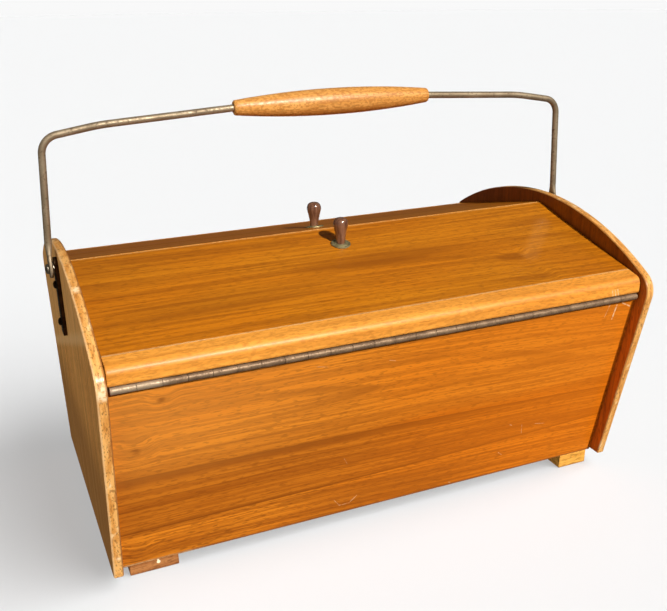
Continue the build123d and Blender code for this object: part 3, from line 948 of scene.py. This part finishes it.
def lid_rests():
    """Sloping strips inside the end panels."""
    section = rounded([
        (rest_high.y, rest_high.z, 0.8),
        (rest_low.y, rest_low.z + rest_depth, 0.8),
        (rest_low.y, rest_low.z, 0.8),
        (rest_high.y, rest_high.z - rest_depth, 0.8),
    ])
    for place, sign in front_and_back:
        for side in ("right", "left"):
            node = f"{place}_{side}_lid_rest"
            low, high = box_mm(node)
            shells = [plate(section, low.x, high.x, 0.6)]
            piece(node, shells, "case", materials["plain"], (1, sign))


# ---------------------------------------------------------------- the lids


def lid_boards():
    """The lids' flat panels."""
    near, far = ridge_half_gap, moulding_inner - seam / 2
    section = rounded([
        (-near, lid_top(near), 0.9),
        (-far, lid_top(far), joint_round),
        (-far, lid_top(far) - lid_run, 0.2),
        (-near, lid_top(near) - lid_run, 0.9),
    ])
    for place, sign in front_and_back:
        shells = [plate(section, lid_low.x, lid_high.x, board_round)]
        made = piece(f"{place}_lid_panel", shells, f"{place}_lid", materials["lid"], (1, sign))
        paint_faces(
            made,
            [materials["inner"], materials["board_edge"]],
            lambda middle, normal: 2 if abs(normal.z) < 0.7 else (0 if normal.z > 0 else 1),
        )


def lid_mouldings():
    """The rounded strip along each lid's outer edge."""
    inner, face = moulding_inner + seam / 2, -moulding_low.y
    bottom = moulding_low.z
    section = rounded([
        (-inner, bottom, 0.3),
        (-inner, lid_top(inner), joint_round),
        (-face, lid_top(face), nose_radius),
        (-face, bottom, lip_radius),
    ])
    for place, sign in front_and_back:
        shells = [plate(section, moulding_low.x, moulding_high.x, board_round)]
        node = f"{place}_lid_moulding"
        piece(node, shells, f"{place}_lid", materials["moulding"], (1, sign))


def knob_profile():
    """Radius and height: a narrow foot that widens to a round head."""
    lower = [(3.3, 0.0), (3.45, 3.0), (3.9, 7.0), (4.7, 11.0)]
    upper = [(5.5, 14.2), (5.7, 16.2), (5.1, 18.6), (3.4, 20.3), (0.0, 21.0)]
    return [(max(0.0, radius), height) for radius, height in smooth_curve(lower + upper, 5)]


def knobs():
    """A turned knob on each lid, standing upright on a round rosette that lies on the slope."""
    tilt = radians(lid_slope)
    seat = Vector((knob_x, -knob_y, lid_top(knob_y)))
    rosette = [
        (3.0, 0.0), (7.2, 0.0), (7.6, 0.35), (7.5, 0.8), (6.9, 1.05),
        (6.2, 0.8), (5.4, 0.75), (4.7, 1.15), (4.2, 1.4), (3.0, 1.4),
    ]
    lying = Matrix.Translation(seat) @ Matrix.Rotation(tilt, 4, "X")
    upright = Matrix.Translation(seat)
    foot = [(0.0, 0.6), (3.3, 0.6)]
    for place, sign in front_and_back:
        body = f"{place}_lid"
        disc = moved(turned(rosette), lying)
        node = f"{place}_knob_rosette"
        piece(node, [disc], body, materials["rosette"], (1, sign), looped=True)
        handle = moved(turned(foot + knob_profile()[3:]), upright)
        piece(f"{place}_knob", [handle], body, materials["knob"], (1, sign))


# ---------------------------------------------------------------- the hinges


def knuckle_spans(first):
    """X of both ends of every other knuckle, counted from the first."""
    pitch = (leaf_high.x - leaf_low.x) / knuckle_count
    starts = [leaf_low.x + n * pitch for n in range(first, knuckle_count, 2)]
    return [(start + knuckle_gap / 2, start + pitch - knuckle_gap / 2) for start in starts]


def curl(upward):
    """Section of a rolled knuckle: the leaf's sheet bent round the pin, nearly a whole turn."""
    inner = pin_radius + 0.1
    outer = arc_points((0.0, 0.0), knuckle_radius, 62, 402, 34)
    back = arc_points((0.0, 0.0), inner, 402, 62, 30)
    sign = 1 if upward else -1
    return counter_clockwise([(y - hinge_y, hinge_z + sign * z) for y, z in outer + back])


def leaf_section(inner, outer, side):
    """Section of a leaf's sheet between two distances behind the pin's axis."""
    edges = (hinge_half_gap - leaf_thickness + leaf_seat, hinge_half_gap - leaf_seat)
    low, high = sorted(hinge_z + side * edge for edge in edges)
    return rounded([
        (inner - hinge_y, low, 0.12),
        (outer - hinge_y, low, 0.2),
        (outer - hinge_y, high, 0.2),
        (inner - hinge_y, high, 0.12),
    ], hold=0.1)


def hinge_screw_places():
    """X of the screws along a leaf."""
    step = hinge_screw_span / (hinge_screw_count - 1)
    return [n * step - hinge_screw_span / 2 for n in range(hinge_screw_count)]


def screw_rings(radius, head, length, groove):
    """A countersunk screw with its head at Z = 0, pointing up. The shank has a thread's ridges."""
    profile = [(0.0, 0.0), (head * 0.96, 0.0), (head, 0.06), (radius, head - radius + 0.06)]
    height = head - radius + 0.5
    while height < length - 2 * groove:
        profile += [(radius, height), (radius - groove / 2, height + groove), (radius, height + 2 * groove)]
        height += 2 * groove
    profile += [(radius * 0.7, length - groove), (0.0, length)]
    return turned(profile, 24)


def slot_cutter(width, depth, reach):
    """A bar across a screw's head at Z = 0."""
    half = width / 2
    section = [(-half, -1.0), (half, -1.0), (half, depth), (-half, depth)]
    return [[(x, y, z) for y, z in section] for x in (-reach, reach)]


def pin_profile():
    """Radius of the pin along X, with its ends rounded off."""
    low, high = leaf_low.x, leaf_high.x
    start = [(0.0, low - 0.4), (0.8, low - 0.3), (pin_radius, low)]
    end = [(pin_radius, high), (0.8, high + 0.3), (0.0, high + 0.4)]
    return start + end


def hinges():
    """Two piano hinges: each leaf with its own knuckles and screws, and a pin held by the case."""
    for place, sign in front_and_back:
        for part, upward, body in (("lid", True, f"{place}_lid"), ("body", False, "case")):
            side = 1 if upward else -1
            flange = leaf_section(flange_start, leaf_start + leaf_width, side)
            tab = leaf_section(tab_start, flange_start + tab_overlap, side)
            shells = [plate(flange, leaf_low.x, leaf_high.x, 0.1, hold=0.1)]
            for start, end in knuckle_spans(1 if upward else 0):
                shells.append(plate(curl(upward), start, end, 0.16, steps=2, hold=0.05))
                shells.append(plate(tab, start, end, 0.1, hold=0.1))
            node = f"{place}_hinge_{part}_leaf"
            piece(node, shells, body, materials["hinge"], (1, sign))
            hinge_screws(place, part, side, sign, body)
        pin = moved(turned(pin_profile(), 24), along_x(0.0, -hinge_y, hinge_z))
        piece(f"{place}_hinge_pin", [pin], "case", materials["hinge"], (1, sign))


def hinge_screws(place, part, side, sign, body):
    """The row of slotted screws in one leaf."""
    turn = Matrix.Identity(4) if side > 0 else Matrix.Rotation(pi, 4, "X")
    head_height = hinge_z + side * (hinge_half_gap - leaf_thickness)
    shells, cutters = [], []
    for n, x in enumerate(hinge_screw_places()):
        spot = Matrix.Translation((x, hinge_screw_offset - hinge_y, head_height))
        shells.append(moved(screw_rings(1.1, 2.1, 8.0, 0.45), spot @ turn))
        cutters.append(moved(slot_cutter(0.45, 0.5, 2.6), spot @ turn @ Matrix.Rotation(n * 1.1, 4, "Z")))
    node = f"{place}_hinge_{part}_screws"
    made = piece(node, shells, body, materials["screw"], (1, sign))
    cut(made, cutters, (1, sign))


# ---------------------------------------------------------------- the handle


def rod_path(grip_side):
    """Points in X and Z along the rod's centre, from inside the grip down to the foot of the round leg."""
    slope = tan(radians(bar_slope))
    knee_x, knee_radius = bar_knee
    start = (grip_side - rod_in_grip, grip_height + rod_in_grip * slope)
    knee = (knee_x, grip_height - (knee_x - grip_side) * slope)
    knee_arc = corner_arc(start, knee, handle_corner, knee_radius, rod_bend_steps)[0]
    upper_arc = corner_arc(knee, handle_corner, leg_foot, handle_corner[2], rod_bend_steps)[0]
    return [Vector(start), *knee_arc, *upper_arc, Vector(leg_foot)]


def rod_ring(centre, direction, half_thick, half_wide, squareness, count=40):
    """A section across the rod, from round (squareness 2) to flat with rounded edges."""
    across = Vector((-direction.y, direction.x))
    ring = []
    for n in range(count):
        angle = 2 * pi * n / count
        c, s = cos(angle), sin(angle)
        thick = half_thick * (1 if c >= 0 else -1) * abs(c) ** (2 / squareness)
        wide = half_wide * (1 if s >= 0 else -1) * abs(s) ** (2 / squareness)
        point = centre + across * thick
        ring.append((point.x, wide, point.y))
    return ring


def flattened_rings():
    """The leg's lower end, hammered thin and wide, and rounded about the pivot."""
    middle = (eye_x[0] + eye_x[1]) / 2
    thin = (eye_x[1] - eye_x[0]) / 2
    stations = [
        (leg_foot[1] - 1.0, leg_foot[0], rod_radius, rod_radius, 2.0),
        (218.0, 211.55, 2.25, 2.95, 2.3),
        (214.5, 211.8, 1.75, 3.9, 2.8),
        (211.5, 211.93, 1.45, 4.9, 3.3),
        (208.5, middle, thin, 5.8, 3.8),
        (205.5, middle, thin, 6.4, 4.2),
        (203.0, middle, thin, eye_radius, 4.4),
    ]
    down = Vector((0.0, -1.0))
    rings = []
    for z, x, thick, wide, square in smooth_curve(stations, 4):
        rings.append(rod_ring(Vector((x, z)), down, thick, wide, square))
    for degrees in (12, 24, 36, 48, 58, 68, 76, 83, 88):
        drop = eye_radius * sin(radians(degrees))
        wide = eye_radius * cos(radians(degrees))
        edge = 1.0 if degrees < 75 else 0.8
        rings.append(rod_ring(Vector((middle, pivot_height - drop)), down, thin * edge, wide, 4.4))
    return rings


def rods():
    """The two bent rods, each with a hole for its rivet."""
    half = (grip_high.x - grip_low.x) / 2
    for side, sign in right_and_left:
        path = rod_path(half + sign * grip_offset)
        rings = []
        for n, point in enumerate(path):
            before = path[max(n - 1, 0)]
            after = path[min(n + 1, len(path) - 1)]
            rings.append(rod_ring(point, (after - before).normalized(), rod_radius, rod_radius, 2.0))
        shells = [rings + flattened_rings()]
        made = piece(f"{side}_handle_rod", shells, "handle", materials["rod"], (sign, 1))
        hole = turned([(0.0, -4.0), (pivot_hole, -4.0), (pivot_hole, 4.0), (0.0, 4.0)], 40)
        cut(made, [moved(hole, along_x(sum(eye_x) / 2, 0.0, pivot_height))], (sign, 1))


def grip():
    """A turned spindle with rounded ends, and a hollow where each rod goes in."""
    half = (grip_high.x - grip_low.x) / 2
    flank_radius = (half**2 + (grip_radius - grip_end_radius) ** 2) / (2 * (grip_radius - grip_end_radius))
    profile = []
    steps = 60
    inner = half - grip_end_round * 0.8
    for n in range(steps + 1):
        x = -inner + 2 * inner * n / steps
        profile.append((grip_radius - flank_radius + sqrt(flank_radius**2 - x * x), x))
    end_radius = profile[0][0]
    cap = []
    for degrees in (0, 15, 30, 45, 60, 75, 90):
        angle = radians(degrees)
        radius = end_radius - grip_end_round * (1 - sin(angle))
        cap.append((radius, inner + grip_end_round * 0.8 * cos(angle)))
    hole_radius = rod_radius + 0.25
    bottom = half - 3.0
    hole = [(0.0, bottom), (hole_radius, bottom), (hole_radius, half - 0.25), (rod_radius + 0.5, half)]
    left = [(radius, -x) for radius, x in hole + cap[:-1]]
    right = [(radius, x) for radius, x in reversed(hole + cap[:-1])]
    shells = [moved(turned(left + profile + right, 64), along_x(grip_offset, 0.0, grip_height))]
    piece("handle_grip", shells, "handle", materials["grip"])


def handle_fittings():
    """What carries the handle at either end."""
    for side, sign in right_and_left:
        strap(side, sign)
        rivet(side, sign)
        washer(side, sign)
        strap_screws(side, sign)


def strap(side, sign):
    """The metal strip that carries a pivot, with a round top."""
    half = strap_high.y
    low = strap_low.z
    outline = arc_points((0.0, strap_high.z - half), half, 0, 180, 28)
    outline += [(-half, low + 1.2), (-half + 0.35, low + 0.35), (-half + 1.2, low)]
    outline += [(half - 1.2, low), (half - 0.35, low + 0.35), (half, low + 1.2)]
    shells = [plate(counter_clockwise(outline), strap_low.x, strap_high.x, 0.5)]
    piece(f"{side}_handle_strap", shells, "case", materials["strap"], (sign, 1))


def dome(radius, height, brim):
    """Half of a domed head's profile, from its top down to its rim."""
    curve = [(radius * sin(radians(a)), brim + (height - brim) * cos(radians(a))) for a in range(0, 91, 9)]
    curve[0] = (0.0, height)
    return curve + [(radius, brim * 0.4), (radius - brim * 0.3, 0.0)]


def rivet(side, sign):
    """A domed rivet, with its shank through the rod's eye, the washer and the strap."""
    shank = [(2.0, 0.0), (2.0, -6.0), (0.0, -6.0)]
    profile = dome(rivet_high.z - pivot_height, rivet_head_height, 0.5) + shank
    shells = [moved(turned(profile, 40), along_x(rivet_high.x - rivet_head_height, 0.0, pivot_height))]
    piece(f"{side}_handle_rivet", shells, "case", materials["rivet"], (sign, 1))


def washer(side, sign):
    """The washer between the rod's eye and the strap, with softened edges."""
    outer = washer_high.z - pivot_height
    thick = washer_high.x - washer_low.x
    near_side = [(2.05, 0.1), (2.15, 0.0), (outer - 0.2, 0.0), (outer, 0.2)]
    far_side = [(outer, thick - 0.2), (outer - 0.2, thick), (2.15, thick), (2.05, thick - 0.1)]
    shells = [moved(turned(near_side + far_side, 40), along_x(washer_low.x, 0.0, pivot_height))]
    piece(f"{side}_pivot_washer", shells, "case", materials["rivet"], (sign, 1), looped=True)


def strap_screws(side, sign):
    """Domed screws with slots, below the pivot."""
    slot = ((-0.4, 1.1), (0.4, 1.1), (0.4, 3.0), (-0.4, 3.0))
    bar = [[(x, y, z) for y, z in slot] for x in (-3.2, 3.2)]
    shells, cutters = [], []
    for n, height in enumerate(strap_screw_heights):
        spot = along_x(strap_high.x, 0.0, height)
        profile = dome(2.9, 2.2, 0.4) + [(1.5, 0.0), (1.5, -8.3), (0.0, -8.3)]
        shells.append(moved(turned(profile, 36), spot))
        cutters.append(moved(bar, spot @ Matrix.Rotation(0.5 + 1.3 * n, 4, "Z")))
    made = piece(f"{side}_strap_screws", shells, "case", materials["strap"], (sign, 1))
    cut(made, cutters, (sign, 1))


# ---------------------------------------------------------------- hidden and carried-over nodes


def dress_cad_nodes():
    """CAD nodes whose shape is right as it is."""
    finishes = {
        "foot_screws": "screw",
        "front_panel_dowels": "plain",
        "back_panel_dowels": "plain",
        "front_knob_screw": "screw",
        "back_knob_screw": "screw",
    }
    for node, finish in finishes.items():
        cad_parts[node].data.materials.clear()
        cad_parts[node].data.materials.append(materials[finish])


# ---------------------------------------------------------------- the stage


def stage_mesh(name, points, faces, material):
    """A mesh that belongs to the stage and not to the box."""
    data = bpy.data.meshes.new(name)
    data.from_pydata(points, [], faces)
    data.materials.append(material)
    made = bpy.data.objects.new(name, data)
    bpy.context.scene.collection.objects.link(made)
    return made


def glowing(name, rgb, lift):
    """A matt pale surface with part of its brightness of its own."""
    shading = Shading(name, 0.9, specular=0.0)
    shading.shader.inputs["Base Color"].default_value = (*rgb, 1.0)
    shading.shader.inputs["Emission Color"].default_value = (1.0, 1.0, 1.0, 1.0)
    shading.shader.inputs["Emission Strength"].default_value = lift
    return shading.material


def floor_and_backdrop():
    """A wide floor, and a ring of paper round it. Neither lights the box."""
    reach = 12.0
    corners = [(-reach, -reach, 0.0), (reach, -reach, 0.0), (reach, reach, 0.0), (-reach, reach, 0.0)]
    floor_paint = glowing("floor_paint", (0.35, 0.35, 0.35), floor_lift)
    floor = stage_mesh("floor", corners, [(0, 1, 2, 3)], floor_paint)
    count = 48
    ring = [(11.5 * cos(2 * pi * n / count), 11.5 * sin(2 * pi * n / count)) for n in range(count)]
    points = [(x, y, z) for z in (-1.0, 12.0) for x, y in ring]
    faces = [(n, (n + 1) % count, (n + 1) % count + count, n + count) for n in range(count)]
    backdrop_paint = glowing("backdrop_paint", (0.0, 0.0, 0.0), backdrop_brightness)
    backdrop = stage_mesh("backdrop", points, faces, backdrop_paint)
    floor.visible_diffuse = False
    floor.visible_glossy = False
    backdrop.visible_diffuse = False
    backdrop.visible_glossy = False
    backdrop.visible_shadow = False
    return floor


def link_light(light, name, state, *surfaces):
    """Makes a light fall only on the surfaces (state INCLUDE), or on all but them (EXCLUDE)."""
    receivers = bpy.data.collections.new(name)
    for surface in surfaces:
        receivers.objects.link(surface)
    light.light_linking.receiver_collection = receivers
    for member in receivers.collection_objects:
        member.light_linking.link_state = state


def sun(name, travel, strength, angle, rgb):
    """A light from far away. A wide angle makes its shadows soft."""
    lamp = bpy.data.lights.new(name, "SUN")
    lamp.energy = strength
    lamp.angle = radians(angle)
    lamp.color = rgb
    made = bpy.data.objects.new(name, lamp)
    made.rotation_mode = "QUATERNION"
    made.rotation_quaternion = Vector(travel).to_track_quat("-Z", "Y")
    made.location = -Vector(travel) * 2
    bpy.context.scene.collection.objects.link(made)
    return made


def lights(floor):
    """The key light from the front right and a soft fill from the left, which leave the floor out.

    The floor has a broad light of its own from the right, so that it stays pale and the box's
    shadow lies softly to its left.
    """
    key = sun("key", sun_travel, sun_strength, sun_angle, (1.0, 0.95, 0.86))
    fill = sun("fill", fill_travel, fill_strength, fill_angle, (1.0, 0.93, 0.80))
    fill.visible_glossy = False
    over_floor = sun("floor_light", floor_sun_travel, floor_sun_strength, floor_sun_angle, (0.99, 1.0, 1.005))
    link_light(key, "key_receivers", "EXCLUDE", floor)
    link_light(fill, "fill_receivers", "EXCLUDE", floor)
    link_light(over_floor, "floor_light_receivers", "INCLUDE", floor)


def sky():
    """Soft light from overhead and a little from below, with a dim horizon."""
    world = bpy.data.worlds.new("studio")
    world.use_nodes = True
    tree = world.node_tree
    direction = tree.nodes.new("ShaderNodeTexCoord")
    split = tree.nodes.new("ShaderNodeSeparateXYZ")
    tree.links.new(direction.outputs["Generated"], split.inputs[0])
    ramp = tree.nodes.new("ShaderNodeValToRGB")
    share = tree.nodes.new("ShaderNodeMapRange")
    share.inputs["From Min"].default_value = -1.0
    tree.links.new(split.outputs["Z"], share.inputs["Value"])
    tree.links.new(share.outputs["Result"], ramp.inputs[0])
    stops = ramp.color_ramp.elements
    levels = [(0.0, sky_below), (0.46, sky_horizon), (0.58, sky_horizon), (0.85, sky_overhead)]
    while len(stops) < len(levels):
        stops.new(1.0)
    for stop, (position, level) in zip(stops, levels):
        stop.position = position
        stop.color = (level, level * 0.95, level * 0.86, 1.0)
    tree.links.new(ramp.outputs["Color"], tree.nodes["Background"].inputs["Color"])
    bpy.context.scene.world = world


def camera():
    """The camera, turned by yaw, pitch and roll."""
    yaw, pitch, roll = radians(camera_yaw), radians(camera_pitch), radians(camera_roll)
    forward = Vector((sin(yaw) * cos(pitch), cos(yaw) * cos(pitch), -sin(pitch)))
    level = Vector((cos(yaw), -sin(yaw), 0.0))
    up = level.cross(forward)
    right = level * cos(roll) + up * sin(roll)
    up = up * cos(roll) - level * sin(roll)
    lens = bpy.data.cameras.new("camera")
    lens.lens = camera_lens
    lens.sensor_width = 36.0
    lens.shift_x, lens.shift_y = camera_shift
    lens.clip_start = 0.01
    made = bpy.data.objects.new("camera", lens)
    rotation = Matrix((right, up, -forward)).transposed().to_4x4()
    made.matrix_world = Matrix.Translation(camera_place) @ rotation
    bpy.context.scene.collection.objects.link(made)
    bpy.context.scene.camera = made


camera()
sky()
lights(floor_and_backdrop())
end_panels()
wall_panels()
bottom_board()
feet()
lid_rests()
lid_boards()
lid_mouldings()
knobs()
hinges()
rods()
grip()
handle_fittings()
dress_cad_nodes()
bpy.context.scene.view_settings.view_transform = "Standard"
